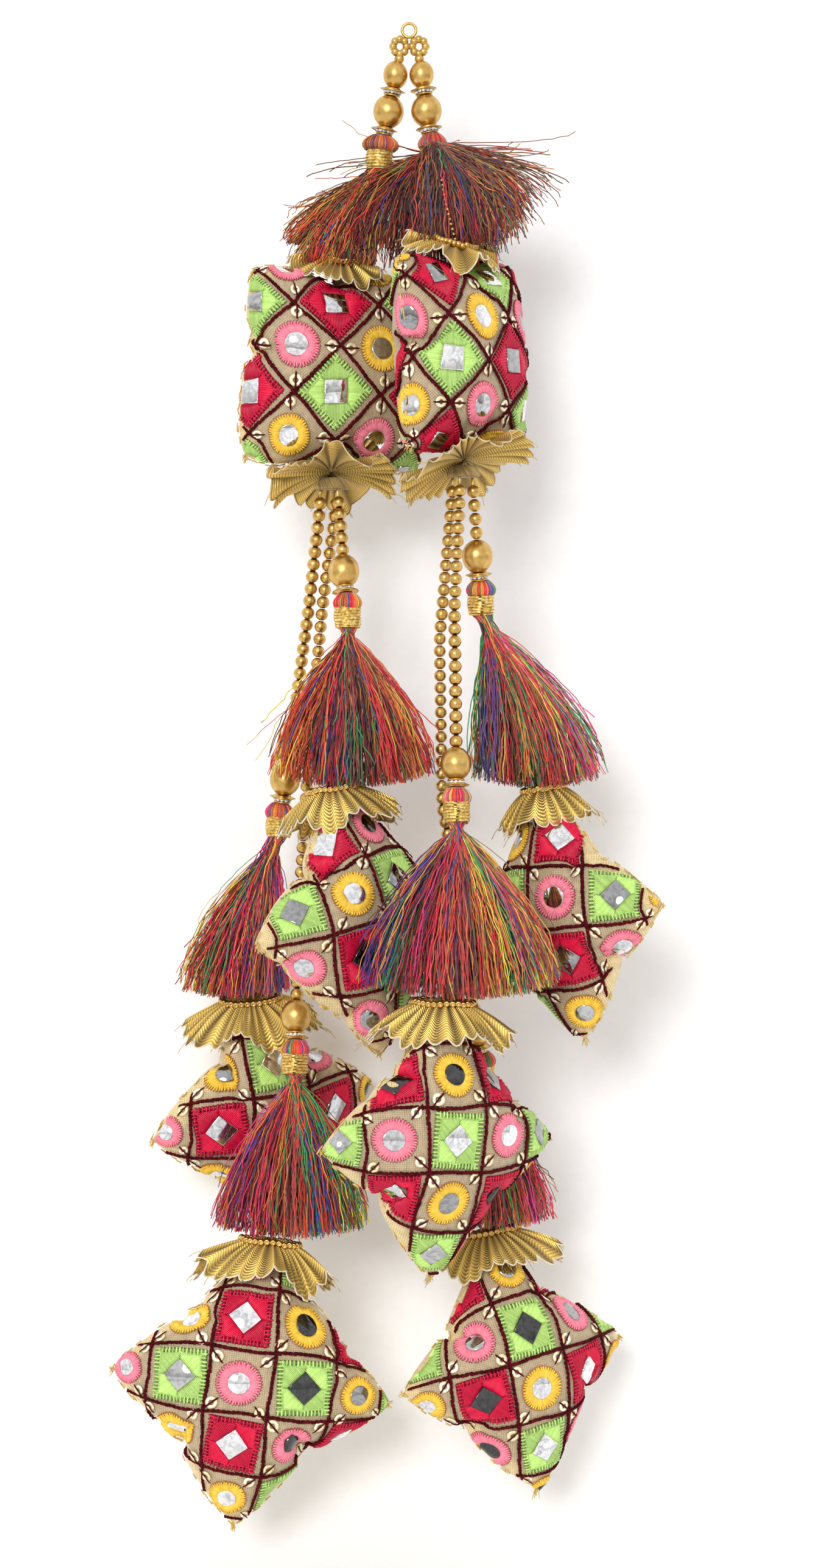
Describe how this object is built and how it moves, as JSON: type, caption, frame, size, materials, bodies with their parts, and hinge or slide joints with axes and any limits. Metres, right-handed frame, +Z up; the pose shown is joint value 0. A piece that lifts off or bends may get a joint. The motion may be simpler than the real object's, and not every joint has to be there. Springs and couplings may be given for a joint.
{
  "type": "hanging tassel ornament",
  "caption": "Pair of joined hanging ornaments with mirror-work cushions, pleated gold rosettes, thread tassels and bead strings.",
  "frame": {"origin": "centre of the hanging ring at the top", "axes": "+Z up, -Y towards the front, +X to the right as seen from the front"},
  "size_m": [0.1789, 0.1092, 0.4938],
  "materials": {
    "gold_metal": "polished",
    "gold_bead": "satin",
    "rondelle": "polished",
    "silk_thread": "glossy rayon thread",
    "gold_thread": "metallic thread",
    "gold_ribbon": "ribbed tissue ribbon",
    "cushion_cloth": "net over satin, embroidered"
  },
  "bodies": {
    "root": {"hanging_ring": "gold_metal"},
    "left_hanger": {"left_hanger_binding": "gold_thread", "left_hanger_large_beads": "gold_bead", "left_hanger_rondelles": "rondelle", "left_hanger_tassel": "silk_thread", "left_loop_beads": "gold_bead"},
    "left_upper": {"left_base_rosette": "gold_ribbon", "left_cap_rosette": "gold_ribbon", "left_upper_cushion": "cushion_cloth"},
    "right_hanger": {"right_hanger_binding": "gold_thread", "right_hanger_large_beads": "gold_bead", "right_hanger_rondelles": "rondelle", "right_hanger_tassel": "silk_thread", "right_loop_beads": "gold_bead"},
    "right_upper": {"right_base_rosette": "gold_ribbon", "right_cap_rosette": "gold_ribbon", "right_upper_cushion": "cushion_cloth"},
    "left_long_drop": {"left_long_cushion": "cushion_cloth", "left_long_rosette": "gold_ribbon"},
    "left_long_string": {"left_long_beads": "gold_bead", "left_long_binding": "gold_thread", "left_long_large_bead": "gold_bead", "left_long_rondelle": "rondelle", "left_long_tassel": "silk_thread"},
    "left_middle_drop": {"left_middle_cushion": "cushion_cloth", "left_middle_rosette": "gold_ribbon"},
    "left_middle_string": {"left_middle_beads": "gold_bead", "left_middle_binding": "gold_thread", "left_middle_large_bead": "gold_bead", "left_middle_rondelle": "rondelle", "left_middle_tassel": "silk_thread"},
    "left_short_drop": {"left_short_cushion": "cushion_cloth", "left_short_rosette": "gold_ribbon"},
    "left_short_string": {"left_short_beads": "gold_bead", "left_short_binding": "gold_thread", "left_short_large_bead": "gold_bead", "left_short_rondelle": "rondelle", "left_short_tassel": "silk_thread"},
    "right_long_drop": {"right_long_cushion": "cushion_cloth", "right_long_rosette": "gold_ribbon"},
    "right_long_string": {"right_long_beads": "gold_bead", "right_long_binding": "gold_thread", "right_long_large_bead": "gold_bead", "right_long_rondelle": "rondelle", "right_long_tassel": "silk_thread"},
    "right_middle_drop": {"right_middle_cushion": "cushion_cloth", "right_middle_rosette": "gold_ribbon"},
    "right_middle_string": {"right_middle_beads": "gold_bead", "right_middle_binding": "gold_thread", "right_middle_large_bead": "gold_bead", "right_middle_rondelle": "rondelle", "right_middle_tassel": "silk_thread"},
    "right_short_drop": {"right_short_cushion": "cushion_cloth", "right_short_rosette": "gold_ribbon"},
    "right_short_string": {"right_short_beads": "gold_bead", "right_short_binding": "gold_thread", "right_short_large_bead": "gold_bead", "right_short_rondelle": "rondelle", "right_short_tassel": "silk_thread"}
  },
  "joints": [
    {"name": "left_spread", "type": "hinge", "parent": "root", "child": "left_hanger", "pos_m": [0, 0, 0], "axis": [0, 1, 0], "range_deg": [0, 30]},
    {"name": "right_spread", "type": "hinge", "parent": "root", "child": "right_hanger", "pos_m": [0, 0, 0], "axis": [0, -1, 0], "range_deg": [0, 30]},
    {"name": "left_upper_swing", "type": "hinge", "parent": "left_hanger", "child": "left_upper", "pos_m": [-0.0245, 0.0055, -0.0575], "axis": [-1, 0, 0], "range_deg": [-15, 0]},
    {"name": "right_upper_swing", "type": "hinge", "parent": "right_hanger", "child": "right_upper", "pos_m": [0.011, -0.01, -0.054], "axis": [-1, 0, 0], "range_deg": [0, 18]},
    {"name": "left_short_swing", "type": "hinge", "parent": "left_upper", "child": "left_short_string", "pos_m": [-0.02348, 0.0015, -0.15075], "axis": [-1, 0, 0], "range_deg": [-3, 2]},
    {"name": "left_short_drop_swing", "type": "hinge", "parent": "left_short_string", "child": "left_short_drop", "pos_m": [-0.019, -0.007, -0.233], "axis": [-1, 0, 0], "range_deg": [-8, 4]},
    {"name": "left_middle_swing", "type": "hinge", "parent": "left_upper", "child": "left_middle_string", "pos_m": [-0.02928, 0.0045, -0.15075], "axis": [-1, 0, 0], "range_deg": [-30, 2]},
    {"name": "left_middle_drop_swing", "type": "hinge", "parent": "left_middle_string", "child": "left_middle_drop", "pos_m": [-0.0575, 0.02, -0.303], "axis": [-1, 0, 0], "range_deg": [-15, 12]},
    {"name": "left_long_swing", "type": "hinge", "parent": "left_upper", "child": "left_long_string", "pos_m": [-0.02408, 0.0077, -0.15075], "axis": [-1, 0, 0], "range_deg": [-2, 4]},
    {"name": "left_long_drop_swing", "type": "hinge", "parent": "left_long_string", "child": "left_long_drop", "pos_m": [-0.039, 0.001, -0.381], "axis": [-1, 0, 0], "range_deg": [-20, 20]},
    {"name": "right_short_swing", "type": "hinge", "parent": "right_upper", "child": "right_short_string", "pos_m": [0.02068, -0.0095, -0.14775], "axis": [-1, 0, 0], "range_deg": [-30, 2]},
    {"name": "right_short_drop_swing", "type": "hinge", "parent": "right_short_string", "child": "right_short_drop", "pos_m": [0.0415, -0.003, -0.233], "axis": [-1, 0, 0], "range_deg": [-20, 4]},
    {"name": "right_middle_swing", "type": "hinge", "parent": "right_upper", "child": "right_middle_string", "pos_m": [0.01638, -0.014, -0.14775], "axis": [-1, 0, 0], "range_deg": [0, 30]},
    {"name": "right_middle_drop_swing", "type": "hinge", "parent": "right_middle_string", "child": "right_middle_drop", "pos_m": [0.0165, -0.032, -0.301], "axis": [-1, 0, 0], "range_deg": [-12, 15]},
    {"name": "right_long_swing", "type": "hinge", "parent": "right_upper", "child": "right_long_string", "pos_m": [0.01418, -0.008, -0.14775], "axis": [-1, 0, 0], "range_deg": [-30, 2]},
    {"name": "right_long_drop_swing", "type": "hinge", "parent": "right_long_string", "child": "right_long_drop", "pos_m": [0.0275, 0.014, -0.379], "axis": [-1, 0, 0], "range_deg": [-20, 20]}
  ]
}
